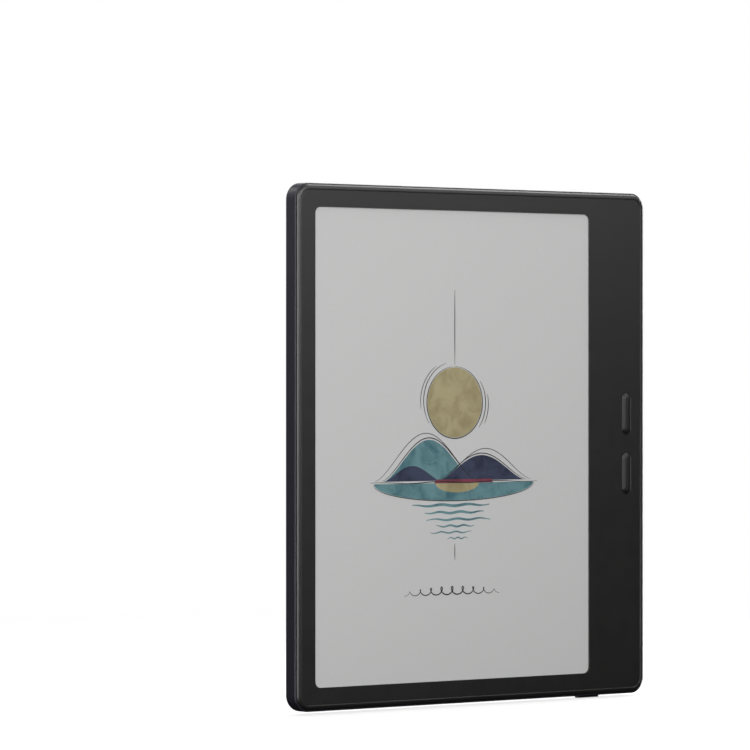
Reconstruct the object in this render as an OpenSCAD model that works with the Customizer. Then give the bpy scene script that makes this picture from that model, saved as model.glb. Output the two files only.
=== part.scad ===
// E-reader with an asymmetric grip, page-turn keys and a leather-look back.
// Origin: centre of the back face. +X towards the grip side as the reader faces it,
// +Z up, and the screen faces -Y. Depths are distances in front of the back face.

/* [Body] */
// Width from the plain side to the grip side
body_w = 137; // [136.6:0.2:138]
// Height
body_h = 156; // [155.6:0.2:157]
// Thickness from the back face to the crest of the front rim
body_t = 6.4; // [6.4:0.1:6.8]
// Corner radius seen from the front
corner_r = 5; // [4.8:0.1:5.5]
// Thickness of the casing's walls
wall = 1.2; // [1.1:0.05:1.2]

/* [Front] */
// Width of the screen window
window_w = 106.9; // [105:0.1:107]
// Height of the screen window
window_h = 142; // [140:0.2:142]
// Corner radius of the screen window
window_r = 2; // [1:0.1:2.5]
// Plain bezel between the left side and the screen window
left_margin = 7.2; // [7:0.1:7.4]
// How far the rim stands above the flat of the bezel
rim_up = 0.2; // [0.1:0.05:0.25]
// How deep the screen sits below the flat of the bezel
screen_recess = 0.5; // [0.4:0.05:0.5]

/* [Back] */
// How far the rear chamfer runs in from the sides
chamfer_in = 1.35; // [1:0.05:1.35]
// How deep the rear chamfer is
chamfer_deep = 1.2; // [0.8:0.1:1.2]
// Middle of the raised rib between the two back panels
rib_x = 43.1; // [42.5:0.1:43.5]
// Width of the rib
rib_w = 0.75; // [0.6:0.05:1]
// Gap round each back panel
panel_gap = 0.16; // [0.1:0.02:0.18]

/* [Keys] */
// Width of a page key
key_w = 3.6; // [3.2:0.1:3.8]
// Length of a page key
key_h = 12.7; // [12:0.1:13]
// Height of each page key's middle above or below the body's middle
key_z = 9.3; // [9:0.1:9.6]
// Distance from the page keys' middle line to the grip side
key_inset = 7.7; // [7.4:0.1:8]
// How far the page keys stand above the flat of the bezel
key_proud = 0.7; // [0.5:0.05:0.8]
// Length of the power key
power_l = 9; // [8.6:0.1:9.2]
// How far the power key stands below the bottom edge
power_proud = 0.7; // [0.5:0.05:0.8]
// Travel of every key
key_travel = 0.3; // [0.2:0.05:0.3]

/* [Tray] */
// Length of the card tray's face
tray_l = 15.7; // [15.5:0.1:15.9]
// Width of the card tray's face
tray_w = 2.4; // [2.3:0.05:2.4]
// Diameter of the eject pinhole
pinhole_d = 0.8; // [0.7:0.05:0.9]

/* [Hidden] */
$fn = 48;
hull_fn = 32;
eps = 0.01;
past = 1;

half_w = body_w / 2;
half_h = body_h / 2;

// Depths, from the back face forwards
flat_d = body_t - rim_up;
lip_d = 5.7;
skirt_d = 5.82;
lip_round = 0.4;
plate_d = 5.3;
pocket_d = 0.5;
panel_t = 0.4;
film_d = flat_d - screen_recess;
guide_d = [5.0, 5.4];
epaper_d = [4.2, 5.0];
frame_d = [3.7, 4.2];
board_d = [2.75, 3.55];
usb_board_d = [2.35, 3.15];
battery_d = [1.3, 3.6];
speaker_d = [1.8, 4.9];
switch_d = 4.35;
middle_d = 3.2;

// Sheet metal of the shield can and the card socket
sheet_t = 0.2;

// The cavity inside the casing, and the bezel's skirt that drops into it
cavity_in = wall;
skirt_in = wall + 0.2;

// The screen window and the stack behind it
window_x0 = left_margin - half_w;
window_x1 = window_x0 + window_w;
screen_x0 = window_x0 - 3.2;
screen_x1 = window_x1 + 2.4;
screen_z = window_h / 2 + 3;
screen_gap = 0.3;

// Back panels
panel_x0 = 2 - half_w;
panel_x1 = half_w - chamfer_in - 0.1 - panel_gap;
panel_z = half_h - 1.86;
panel_outer_r = 3.1;
panel_rib_r = 2;

// Grip-side features: heights and depths of their middles
usb_z = 68.8;
usb_d = 2.75;
slot_z = 53.8;
slot_d = 3.36;
hole_z = -61.9;
hole_d = middle_d;
port_pitch = 2.03;
ports = 8;
tray_z = 27.45;
tray_d = 2.6;
slot_clear = 0.1;

// Clearance left under a plunger when its key is fully pressed
press_gap = 0.1;

// Power key: its flange inside the wall, and the switch above it
power_x = 47.1;
power_t = 1.9;
power_flange_z = -half_h + wall + 0.1;
power_flange_t = 0.4;
power_switch_z = power_flange_z + power_flange_t + key_travel + press_gap;
power_switch_t = 1.5;
power_well = 0.7;

// Page keys
key_x = half_w - key_inset;
key_flange_d = [4.9, 5.25];
key_clear = 0.1;
key_well_d = 3.8;
plunger_d = key_well_d + key_travel + press_gap;
well_r = 0.8;

// Card tray, the card in its seat, and the socket that takes them
bed_d = [1.6, 2.4];
bed_z0 = 20.4;
bed_w = 12;
bed_x0 = 47.8;
bed_x1 = half_w - wall;
neck_in = 0.7;
face_t = 0.6;
card_x0 = 49.7;
card_l = 15;
card_z0 = bed_z0 + 0.5;
card_w = 11;
card_t = 0.6;
seat_d = bed_d[0] + card_t;
socket_x = [45.4, 66.6];
socket_z = [17.9, 37.5];
socket_d = 1.25;
rail_x0 = 50;
rail_clear = 0.1;

// Eject linkage: the pinhole, the rod behind it, and the lever on its pin
pinhole_z = 34.2;
pinhole_depth = 2.5;
rod_w = 1;
rod_nose_w = 0.5;
rod_x = [48.8, 66.9];
pivot_x = 47.3;
pivot_z = 31.5;
lever_w = 0.8;
lever_d = [1.7, 2.5];

// Battery, boards and speakers: edges in X and in Z
battery_x = [-55, 40];
battery_z = [-38, 32];
board_x = [45, 66.6];
board_z = [-44, 42];
connector_x = [45.6, 49];
speaker_x = [52, 66.9];
speaker_l = 17;
mesh_x0 = 66.95;

// Screws
board_screw_at = [[50.4, 40], [63.5, 40], [51.5, -41], [63.5, -41]];
frame_screw_at = [[50.2, 43.6], [50.2, -48.7]];
usb_screw_at = [[52.5, 65.2], [52.5, 74]];
boss_r = 1.8;
small_boss_r = 1.4;
bore_r = 0.7;
shank_r = 0.68;

// ---- Shared shapes ----

// Rectangle with round corners, centred
module round_rect(w, h, r) {
    square([w - 2 * r, h], center = true);
    square([w, h - 2 * r], center = true);
    for (sx = [-1, 1], sz = [-1, 1])
        translate([sx * (w / 2 - r), sz * (h / 2 - r)]) circle(r);
}

// A flat shape drawn in X and Z, given thickness from depth d0 to depth d1
module sheet(d0, d1) {
    translate([0, -d0, 0]) rotate([90, 0, 0]) linear_extrude(d1 - d0) children();
}

// Box with square corners
module block(x0, x1, z0, z1, d0, d1) {
    translate([x0, -d1, z0]) cube([x1 - x0, d1 - d0, z1 - z0]);
}

// Plate with round corners
module plate(x0, x1, z0, z1, d0, d1, r) {
    sheet(d0, d1) translate([(x0 + x1) / 2, (z0 + z1) / 2]) round_rect(x1 - x0, z1 - z0, r);
}

// Upright slot with round ends
module pill(x, z, w, h, d0, d1) {
    sheet(d0, d1) translate([x, z]) {
        square([w, h - w], center = true);
        for (s = [-1, 1]) translate([0, s * (h - w) / 2]) circle(w / 2);
    }
}

// The same slot cut in from the grip side, x0 to x1, with its length upright
module side_pill(x0, x1, z, d, w, h) {
    translate([x0, -d, z]) rotate([90, 0, 90]) linear_extrude(x1 - x0) {
        square([w, h - w], center = true);
        for (s = [-1, 1]) translate([0, s * (h - w) / 2]) circle(w / 2);
    }
}

// The body's outline, drawn in by inset, from depth d0 to depth d1
module outline(inset, d0, d1) {
    plate(inset - half_w, half_w - inset, inset - half_h, half_h - inset, d0, d1, corner_r - inset);
}

// Round bar along Y
module post(x, z, r, d0, d1) {
    translate([x, -d0, z]) rotate([90, 0, 0]) cylinder(h = d1 - d0, r = r);
}

// Round bar along X
module bar(x0, x1, z, d, r) {
    translate([x0, -d, z]) rotate([0, 90, 0]) cylinder(h = x1 - x0, r = r);
}

// Outline of a back panel: outer corners on one side, rib corners on the other
module panel_shape(x0, x1, z, r0, r1) {
    hull() for (s = [-1, 1]) {
        translate([x0 + r0, s * (z - r0)]) circle(r0, $fn = hull_fn);
        translate([x1 - r1, s * (z - r1)]) circle(r1, $fn = hull_fn);
    }
}

module main_panel_shape(grow) {
    panel_shape(panel_x0 - grow, rib_x - rib_w / 2 - panel_gap + grow, panel_z + grow,
        panel_outer_r + grow, panel_rib_r + grow);
}

module grip_panel_shape(grow) {
    panel_shape(rib_x + rib_w / 2 + panel_gap - grow, panel_x1 + grow, panel_z + grow,
        panel_rib_r + grow, panel_outer_r + grow);
}

// Pan-head screw driven from the back: its head sits behind depth d
module screw(at, d, shank_l, head_r) {
    difference() {
        union() {
            post(at[0], at[1], head_r, d - 0.65, d);
            post(at[0], at[1], shank_r, d - eps, d + shank_l);
        }
        for (turn = [0, 90])
            translate([at[0], -(d - 0.65), at[1]]) rotate([0, turn, 0])
                cube([head_r * 1.2, 0.5, 0.25], center = true);
    }
}

// ---- Shells ----

module rear_casing() {
    color([0.2, 0.19, 0.22])
    difference() {
        hull() {
            $fn = hull_fn;
            outline(chamfer_in, 0, eps);
            outline(0, chamfer_deep, lip_d - lip_round);
            outline(lip_round * 0.3, lip_d - lip_round * 0.3, lip_d - lip_round * 0.3 + eps);
            outline(lip_round, lip_d - eps, lip_d);
        }
        outline(cavity_in, wall, lip_d + past);
        sheet(-past, pocket_d) main_panel_shape(panel_gap);
        sheet(-past, pocket_d) grip_panel_shape(panel_gap);
        // Charging port: a close mouth with a wider seat for the shell behind it
        side_pill(half_w - wall - past, half_w + past, usb_z, usb_d, 2.9, 8.7);
        side_pill(half_w - wall - past, half_w - 0.5, usb_z, usb_d, 3.2, 9.1);
        // Speaker slots above the tray, round speaker holes near the bottom
        for (i = [0:ports - 1]) {
            side_pill(half_w - wall - past, half_w + past, port_height(slot_z, i), slot_d, 0.7, 1.2);
            bar(half_w - wall - past, half_w + past, port_height(hole_z, i), hole_d, 0.55);
        }
        // Tray mouth
        side_pill(half_w - wall - past, half_w + past, tray_z, tray_d,
            tray_w + 2 * slot_clear, tray_l + 2 * slot_clear);
        // Power key's slot
        power_slot();
    }
}

// Height of speaker opening number i in a row about the height z
function port_height(z, i) = z + (i - (ports - 1) / 2) * port_pitch;

module power_slot() {
    translate([power_x, -middle_d, -half_h - past]) linear_extrude(wall + 2 * past)
        round_rect(power_l + 2 * slot_clear, power_t + 2 * slot_clear, 0.9);
}

module grip_panel() {
    color([0.25, 0.26, 0.29]) sheet(0, panel_t) grip_panel_shape(0);
}

module main_panel() {
    color([0.25, 0.26, 0.29]) sheet(0, panel_t) main_panel_shape(0);
}

module panel_adhesive() {
    color([0.75, 0.72, 0.6]) {
        sheet(panel_t, pocket_d) grip_panel_shape(-0.6);
        sheet(panel_t, pocket_d) main_panel_shape(-0.6);
    }
}

module front_bezel() {
    color([0.22, 0.22, 0.22])
    difference() {
        union() {
            // Skirt, and a face that rounds up to the rim's crest
            outline(skirt_in, plate_d, skirt_d + 0.1);
            hull() {
                $fn = hull_fn;
                outline(0.48, skirt_d, skirt_d + 0.12);
                outline(0.65, body_t - 0.3, body_t - 0.29);
                outline(1.05, body_t - 0.08, body_t - 0.07);
                outline(1.5, body_t - eps, body_t);
            }
            for (at = board_screw_at) post(at[0], at[1], boss_r, board_d[1], plate_d + 0.1);
            for (at = usb_screw_at) post(at[0], at[1], boss_r, usb_board_d[1], plate_d + 0.1);
            for (at = frame_screw_at) post(at[0], at[1], small_boss_r, frame_d[1], plate_d + 0.1);
        }
        // Flat of the bezel, a little below the rim
        hull() {
            $fn = hull_fn;
            outline(2.2, flat_d, flat_d + eps);
            outline(1.15, flat_d + rim_up * 1.5, flat_d + rim_up * 1.5 + eps);
        }
        plate(window_x0, window_x1, -window_h / 2, window_h / 2, plate_d, body_t + past, window_r);
        plate(screen_x0 - 0.8, screen_x1 + screen_gap, -screen_z - 0.6, screen_z + 0.6,
            plate_d - past, 5.8, 2.5);
        for (s = [-1, 1])
            pill(key_x, s * key_z, key_w + 2 * key_clear, key_h + 2 * key_clear,
                plate_d - past, body_t + past);
        for (at = concat(board_screw_at, usb_screw_at, frame_screw_at))
            post(at[0], at[1], bore_r, usb_board_d[1] - past, 5.5);
    }
}

module perimeter_seal() {
    color([0.1, 0.1, 0.1])
    difference() {
        outline(cavity_in, plate_d, lip_d - 0.05);
        outline(skirt_in, plate_d - past, lip_d + past);
    }
}

// ---- Screen stack ----

module display_gasket() {
    color([0.08, 0.08, 0.08])
    difference() {
        plate(screen_x0 - 0.6, screen_x1 + 0.2, -screen_z - 0.4, screen_z + 0.4, film_d, 5.8, 2.4);
        plate(window_x0 - 0.4, window_x1 + 0.4, -window_h / 2 - 0.4, window_h / 2 + 0.4,
            film_d - past, 5.8 + past, window_r + 0.4);
    }
}

// One layer of the screen stack
module screen_layer(d0, d1) {
    plate(screen_x0, screen_x1, -screen_z, screen_z, d0, d1, 1);
}

module cover_film() {
    color([0.78, 0.78, 0.76]) screen_layer(guide_d[1], film_d);
}

module light_guide() {
    color([0.85, 0.88, 0.88]) screen_layer(guide_d[0], guide_d[1]);
}

module epaper_panel() {
    color([0.7, 0.7, 0.68]) screen_layer(epaper_d[0], epaper_d[1]);
}

// Light-emitting diodes on a strip along the light guide's bottom edge
module front_light_strip() {
    color([0.9, 0.88, 0.7]) {
        block(screen_x0 + 4, screen_x1 - 3, -screen_z - 2, -screen_z - 0.05, 4.85, 5);
        for (i = [0:11])
            translate([screen_x0 + 8 + i * 8.6, 0, 0])
                block(0, 2.6, -screen_z - 0.9, -screen_z - 0.05, 5 - eps, 5.28);
    }
}

module display_flex() {
    color([0.85, 0.5, 0.15]) block(screen_x1, 51.2, -14, 4, 4.35, 4.5);
}

module touch_flex() {
    color([0.85, 0.5, 0.15]) {
        block(screen_x1, screen_x1 + 0.15, -34, -28, 4.7, 5.6);
        block(screen_x1, 51.4, -34, -28, 4.7, 4.85);
    }
}

module mid_frame() {
    color([0.62, 0.63, 0.65])
    difference() {
        union() {
            plate(1.6 - half_w, screen_x1 + 0.2, -screen_z - 0.2, screen_z + 2.2,
                frame_d[0], frame_d[1], 3.4);
            for (at = frame_screw_at)
                plate(screen_x1 - 3, at[0] + 1.6, at[1] - 1.35, at[1] + 1.35, frame_d[0], frame_d[1], 0.8);
        }
        for (at = frame_screw_at) post(at[0], at[1], 0.75, frame_d[0] - past, frame_d[1] + past);
        // Lightening windows above and below the battery
        for (i = [0:3], z = [-58, 54])
            plate(-58 + i * 25, -39 + i * 25, z - 10, z + 10, frame_d[0] - past, frame_d[1] + past, 3);
    }
}

module frame_screws() {
    color([0.75, 0.75, 0.77])
    for (at = frame_screw_at) screw(at, frame_d[0], 1.5, 1.2);
}

// ---- Power ----

module battery_pack() {
    color([0.55, 0.56, 0.58]) {
        plate(battery_x[0], battery_x[1], battery_z[0], battery_z[1], battery_d[0], battery_d[1], 1.2);
        // Taped circuit along the top edge
        block(-40, 20, battery_z[1], battery_z[1] + 3.5, 1.7, middle_d);
    }
}

module battery_tape() {
    color([0.9, 0.9, 0.88])
    for (x = [-45, 10])
        block(x, x + 18, battery_z[0] + 4, battery_z[1] - 4, battery_d[1], frame_d[0]);
}

module battery_lead() {
    color([0.7, 0.1, 0.1])
    for (i = [-1:1]) bar(battery_x[1], connector_x[0], -1 + i * 1.5, 2.1, 0.35);
}

module battery_connector() {
    color([0.92, 0.9, 0.82]) plate(connector_x[0], connector_x[1], -4, 2, 1.5, board_d[0], 0.3);
}

// ---- Boards ----

module main_board() {
    color([0.05, 0.3, 0.2])
    difference() {
        plate(board_x[0], board_x[1], board_z[0], board_z[1], board_d[0], board_d[1], 0.8);
        for (at = board_screw_at) post(at[0], at[1], 0.8, board_d[0] - past, board_d[1] + past);
    }
}

module shield_can() {
    can_x = [47, 65];
    can_z = [-30, -8];
    color([0.8, 0.8, 0.82])
    difference() {
        plate(can_x[0], can_x[1], can_z[0], can_z[1], 1.35, board_d[0], 0.6);
        plate(can_x[0] + sheet_t, can_x[1] - sheet_t, can_z[0] + sheet_t, can_z[1] - sheet_t,
            1.5, board_d[0] + past, 0.5);
    }
}

// Packages as [x, z, width, height, depth from, depth to]
chips = [
    [51.8, -14, 8, 8, 1.7, 2.75], [60.4, -14, 6, 8, 1.8, 2.75], [51, -24, 7, 7, 1.9, 2.75],
    [60, -24, 5, 5, 1.9, 2.75], [53, 7, 6, 6, 1.8, 2.75], [61, 8, 4, 5, 1.9, 2.75],
    [57, -36, 6, 4, 1.8, 2.75], [56, 30, 7, 9, 3.55, 4.4], [56, -27, 6, 6, 3.55, 4.3],
    [55, 70, 4, 4, 3.15, 3.95], [52.6, 69.6, 2, 3, 3.15, 3.8]
];

module board_chips() {
    color([0.1, 0.1, 0.11])
    for (c = chips)
        block(c[0] - c[2] / 2, c[0] + c[2] / 2, c[1] - c[3] / 2, c[1] + c[3] / 2, c[4], c[5]);
}

// Sockets for the screen's and the touch layer's flexes
module board_connectors() {
    color([0.9, 0.88, 0.8]) {
        block(49.4, 51.6, -15, 5, board_d[1], 4.35);
        block(49.4, 51.6, -35, -27, board_d[1], 4.7);
    }
}

module board_screws() {
    color([0.75, 0.75, 0.77])
    for (at = board_screw_at) screw(at, board_d[0], 2.5, 1.4);
}

// Tactile switch under a page key: a body with a well for the key's plunger
module key_switch(z) {
    color([0.75, 0.74, 0.72])
    difference() {
        plate(key_x - 2.25, key_x + 2.25, z - 2.25, z + 2.25, board_d[1], switch_d, 0.4);
        post(key_x, z, well_r, key_well_d, switch_d + past);
    }
}

module page_up_switch() {
    key_switch(key_z);
}

module page_down_switch() {
    key_switch(-key_z);
}

module power_switch() {
    color([0.75, 0.74, 0.72])
    difference() {
        block(power_x - 2.4, power_x + 2.4, power_switch_z, power_switch_z + power_switch_t,
            middle_d - 1.2, middle_d + 1.2);
        translate([power_x, -middle_d, power_switch_z - past]) cylinder(h = past + power_well, r = well_r);
    }
}

module power_flex() {
    flex_z = power_switch_z + power_switch_t;
    flex_x1 = 51.4;
    color([0.85, 0.5, 0.15]) {
        block(power_x - 2.8, flex_x1, flex_z, flex_z + 0.15, 2, 3.6);
        block(flex_x1 - 1.6, flex_x1, flex_z, board_z[0], board_d[0], board_d[0] + 0.15);
    }
}

// ---- Charging port ----

module usb_board() {
    color([0.05, 0.3, 0.2])
    difference() {
        intersection() {
            plate(50, 66.8, 62.9, 76.3, usb_board_d[0], usb_board_d[1], 0.6);
            outline(cavity_in + 0.4, usb_board_d[0] - past, usb_board_d[1] + past);
        }
        block(59.5, 66.8 + past, usb_z - 4.55, usb_z + 4.55, usb_board_d[0] - past, usb_board_d[1] + past);
        for (at = usb_screw_at) post(at[0], at[1], 0.8, usb_board_d[0] - past, usb_board_d[1] + past);
    }
}

module usb_shell() {
    color([0.7, 0.7, 0.72])
    difference() {
        side_pill(59.7, half_w - 0.55, usb_z, usb_d, 3.04, 8.84);
        side_pill(60.1, half_w + past, usb_z, usb_d, 2.56, 8.34);
    }
}

module usb_tongue() {
    color([0.12, 0.12, 0.12]) block(60.1, 67, usb_z - 3.2, usb_z + 3.2, usb_d - 0.35, usb_d + 0.35);
}

module usb_screws() {
    color([0.75, 0.75, 0.77])
    for (at = usb_screw_at) screw(at, usb_board_d[0], 2.8, 1.2);
}

module usb_flex() {
    flex_d = [usb_board_d[1], usb_board_d[1] + 0.15];
    color([0.85, 0.5, 0.15]) {
        block(board_x[0], 50.4, 67, 70, flex_d[0], flex_d[1]);
        block(board_x[0], board_x[0] + 1.2, board_z[1], 70, flex_d[0], flex_d[1]);
    }
}

// ---- Sound ----

// Side-firing speaker box with a shallow oval dome on its back
module speaker(z) {
    color([0.12, 0.12, 0.13]) {
        plate(speaker_x[0], speaker_x[1], z - speaker_l / 2, z + speaker_l / 2,
            speaker_d[0], speaker_d[1], 1.2);
        pill(59.2, z, 10, 14, speaker_d[0] - 0.4, speaker_d[0] + 0.1);
    }
}

module speaker_upper() {
    speaker(slot_z);
}

module speaker_lower() {
    speaker(hole_z);
}

module speaker_mesh(z, d) {
    color([0.05, 0.05, 0.05]) block(mesh_x0, half_w - wall, z - 8, z + 8, d - 0.8, d + 0.8);
}

module speaker_mesh_upper() {
    speaker_mesh(slot_z, slot_d);
}

module speaker_mesh_lower() {
    speaker_mesh(hole_z, hole_d);
}

// Lead pairs from each speaker to its flex or board
module speaker_leads() {
    lead_r = 0.3;
    speaker_top = hole_z + speaker_l / 2;
    color([0.8, 0.1, 0.1]) {
        for (z = [50, 51.5]) bar(board_x[0] + 1.2, speaker_x[0], z, 3.22, lead_r);
        for (x = [58, 59.5])
            translate([x, -3.15, speaker_top]) cylinder(h = board_z[0] - speaker_top, r = lead_r);
    }
}

// ---- Card tray ----

module card_socket() {
    color([0.72, 0.72, 0.74])
    union() {
        difference() {
            block(socket_x[0], socket_x[1], socket_z[0], socket_z[1], socket_d, board_d[0]);
            block(socket_x[0] + sheet_t, socket_x[1] + past, socket_z[0] + sheet_t, socket_z[1] - sheet_t,
                socket_d + sheet_t, board_d[0] + past);
        }
        // Rails that guide the tray's bed, and the eject rod's rail
        block(rail_x0, socket_x[1], socket_z[0] + sheet_t - eps, bed_z0 - rail_clear,
            socket_d + sheet_t - eps, board_d[0]);
        block(rail_x0, socket_x[1], bed_z0 + bed_w + rail_clear, pinhole_z - rod_w / 2 - rail_clear,
            socket_d + sheet_t - eps, board_d[0]);
    }
}

module card_contacts() {
    color([0.85, 0.68, 0.25])
    for (i = [0:7]) block(58, 61, 21.6 + i * 1.2, 22.3 + i * 1.2, 2.5, board_d[0]);
}

module card_tray() {
    color([0.2, 0.19, 0.22])
    difference() {
        union() {
            side_pill(half_w - face_t, half_w, tray_z, tray_d, tray_w, tray_l);
            side_pill(bed_x1 - eps, half_w - face_t + eps, tray_z, tray_d,
                tray_w - neck_in, tray_l - neck_in);
            block(bed_x0, bed_x1 + 0.1, bed_z0, bed_z0 + bed_w, bed_d[0], bed_d[1]);
        }
        // Seat for the card, open at the back so that its contacts show on the other side
        block(card_x0 - 0.1, card_x0 + card_l + 0.1, card_z0 - 0.05, card_z0 + card_w + 0.05,
            bed_d[0] - past, seat_d);
        block(card_x0 + 1.3, card_x0 + card_l - 1.2, card_z0 + 1, card_z0 + card_w - 1,
            bed_d[0] - past, bed_d[1] + past);
        bar(bed_x1 - past, half_w + past, pinhole_z, pinhole_depth, pinhole_d / 2);
        // Relief for the eject lever's hub
        block(bed_x0 - past, bed_x0 + 0.7, pivot_z - 1.2, bed_z0 + bed_w + past,
            bed_d[0] - past, bed_d[1] + past);
    }
}

module tray_seal() {
    color([0.05, 0.05, 0.05])
    difference() {
        side_pill(half_w - 1.05, half_w - face_t, tray_z, tray_d, tray_w, tray_l);
        side_pill(half_w - 2, half_w, tray_z, tray_d, tray_w - neck_in, tray_l - neck_in);
    }
}

module memory_card() {
    color([0.1, 0.1, 0.12])
    block(card_x0, card_x0 + card_l, card_z0, card_z0 + card_w, seat_d - card_t, seat_d);
}

// Flat rod that a pin pushes in from the grip side
module eject_rod() {
    color([0.72, 0.72, 0.74]) {
        block(rod_x[0], rod_x[1], pinhole_z - rod_w / 2, pinhole_z + rod_w / 2, 1.6, 2.7);
        block(bed_x0, rod_x[0] + eps, pinhole_z - rod_nose_w / 2, pinhole_z + rod_nose_w / 2, 1.6, 2.6);
    }
}

// Lever between the rod and the tray, turning on its pin
module eject_lever() {
    color([0.72, 0.72, 0.74])
    difference() {
        union() {
            plate(pivot_x - lever_w / 2, pivot_x + lever_w / 2, pivot_z - 3.1, pivot_z + 3.4,
                lever_d[0], lever_d[1], 0.3);
            post(pivot_x, pivot_z, lever_w, lever_d[0], lever_d[1]);
        }
        post(pivot_x, pivot_z, 0.43, lever_d[0] - past, lever_d[1] + past);
    }
}

module eject_pivot() {
    color([0.6, 0.6, 0.62]) post(pivot_x, pivot_z, 0.4, socket_d + sheet_t, board_d[0]);
}

// ---- Radio ----

module wifi_antenna() {
    color([0.85, 0.6, 0.2]) block(-20, 18, half_h - wall - 0.3, half_h - wall, 1.4, 3.5);
}

// Thin coaxial lead along the top wall, down beside the boards and in to its plug
module antenna_lead() {
    lead_r = 0.45;
    lead_d = 2.25;
    lead_z = half_h - wall - 0.3 - lead_r;
    bend = 2;
    down_x = 43.4;
    down_z = 14;
    color([0.15, 0.15, 0.15]) {
        bar(16, down_x - bend, lead_z, lead_d, lead_r);
        translate([down_x - bend, -lead_d, lead_z - bend]) rotate([90, 0, 0])
            rotate_extrude(angle = 90) translate([bend, 0]) circle(lead_r);
        translate([down_x, -lead_d, down_z]) cylinder(h = lead_z - bend - down_z, r = lead_r);
        translate([down_x + bend, -lead_d, down_z]) rotate([90, 0, 0]) rotate([0, 0, 180])
            rotate_extrude(angle = 90) translate([bend, 0]) circle(lead_r);
        bar(down_x + bend, 47.5, down_z - bend, lead_d, lead_r);
        post(48.4, down_z - bend, 1.1, 1.75, board_d[0]);
    }
}

// ---- Keys ----

// Page key: rounded cap, a flange that stops it against the bezel, and a plunger
module page_key(z) {
    color([0.24, 0.24, 0.25]) {
        hull() {
            $fn = hull_fn;
            pill(key_x, z, key_w, key_h, key_flange_d[0] + 0.1, flat_d + key_proud - 0.35);
            pill(key_x, z, key_w - 0.3, key_h - 0.3, flat_d + key_proud - 0.15, flat_d + key_proud - 0.14);
            pill(key_x, z, key_w - 1, key_h - 1, flat_d + key_proud - eps, flat_d + key_proud);
        }
        pill(key_x, z, key_w + 1.6, key_h + 1.6, key_flange_d[0], key_flange_d[1]);
        post(key_x, z, 0.7, plunger_d, key_flange_d[0] + eps);
    }
}

module page_up_button() {
    page_key(key_z);
}

module page_down_button() {
    page_key(-key_z);
}

module power_button() {
    bottom = -half_h - power_proud;
    flange_top = power_flange_z + power_flange_t;
    stem_top = power_switch_z + power_well - key_travel - press_gap;
    color([0.12, 0.12, 0.13]) {
        translate([power_x, -middle_d, bottom]) linear_extrude(power_flange_z - bottom + eps)
            round_rect(power_l, power_t, 0.8);
        block(power_x - 5.2, power_x + 5.2, power_flange_z, flange_top, middle_d - 1.5, middle_d + 1.5);
        translate([power_x, -middle_d, flange_top - eps]) cylinder(h = stem_top - flange_top + eps, r = 0.6);
    }
}

rear_casing();
grip_panel();
main_panel();
panel_adhesive();
front_bezel();
perimeter_seal();
display_gasket();
cover_film();
light_guide();
front_light_strip();
epaper_panel();
display_flex();
touch_flex();
mid_frame();
frame_screws();
battery_pack();
battery_tape();
battery_lead();
battery_connector();
main_board();
shield_can();
board_chips();
board_connectors();
board_screws();
page_up_switch();
page_down_switch();
power_switch();
power_flex();
usb_board();
usb_shell();
usb_tongue();
usb_screws();
usb_flex();
speaker_upper();
speaker_lower();
speaker_mesh_upper();
speaker_mesh_lower();
speaker_leads();
card_socket();
card_contacts();
eject_pivot();
wifi_antenna();
antenna_lead();
page_up_button();
page_down_button();
power_button();
card_tray();
tray_seal();
memory_card();
eject_rod();
eject_lever();
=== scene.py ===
"""E-reader: fine meshes, procedural materials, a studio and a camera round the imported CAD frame."""
import math

import bmesh
import bpy
from mathutils import Matrix, Vector, noise


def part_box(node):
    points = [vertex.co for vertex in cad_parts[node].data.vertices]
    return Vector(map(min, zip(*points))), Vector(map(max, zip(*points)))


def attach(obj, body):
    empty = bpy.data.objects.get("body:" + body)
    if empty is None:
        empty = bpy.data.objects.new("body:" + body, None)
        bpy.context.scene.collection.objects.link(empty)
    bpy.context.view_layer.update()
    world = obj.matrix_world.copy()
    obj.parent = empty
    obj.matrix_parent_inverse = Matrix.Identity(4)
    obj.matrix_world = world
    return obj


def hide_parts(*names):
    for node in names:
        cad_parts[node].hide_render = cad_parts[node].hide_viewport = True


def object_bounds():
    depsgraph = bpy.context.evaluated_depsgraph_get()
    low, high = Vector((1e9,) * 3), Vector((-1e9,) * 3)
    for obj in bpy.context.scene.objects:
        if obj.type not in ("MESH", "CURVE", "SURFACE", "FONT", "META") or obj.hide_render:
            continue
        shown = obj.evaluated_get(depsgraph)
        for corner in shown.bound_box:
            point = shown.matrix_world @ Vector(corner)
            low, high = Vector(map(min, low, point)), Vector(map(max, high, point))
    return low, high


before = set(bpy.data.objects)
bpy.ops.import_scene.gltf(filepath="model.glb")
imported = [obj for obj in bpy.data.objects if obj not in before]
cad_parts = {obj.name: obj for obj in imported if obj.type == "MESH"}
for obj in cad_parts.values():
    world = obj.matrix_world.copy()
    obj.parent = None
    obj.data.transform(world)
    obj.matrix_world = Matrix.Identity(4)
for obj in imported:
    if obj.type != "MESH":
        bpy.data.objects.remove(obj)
cad_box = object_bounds()

MM = 0.001


def box_mm(node):
    """A CAD node's lowest and highest corners, in millimetres."""
    return tuple(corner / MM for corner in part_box(node))


# Sizes below are in millimetres. A depth is a distance in front of the back face, so y = -depth.
case_lo, case_hi = box_mm("rear_casing")
bezel_lo, bezel_hi = box_mm("front_bezel")
HALF_W = case_hi.x
HALF_H = case_hi.z
CORNER_R = 5.0
LIP_DEPTH = -case_lo.y
RIM_DEPTH = -bezel_lo.y
FLAT_DEPTH = RIM_DEPTH - 0.2
SKIRT_DEPTH = -bezel_hi.y
WALL = 1.2
CHAMFER_IN, CHAMFER_DEEP = 1.35, 1.2
ARC_STEPS = 16


# ---- Outlines ----

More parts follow.
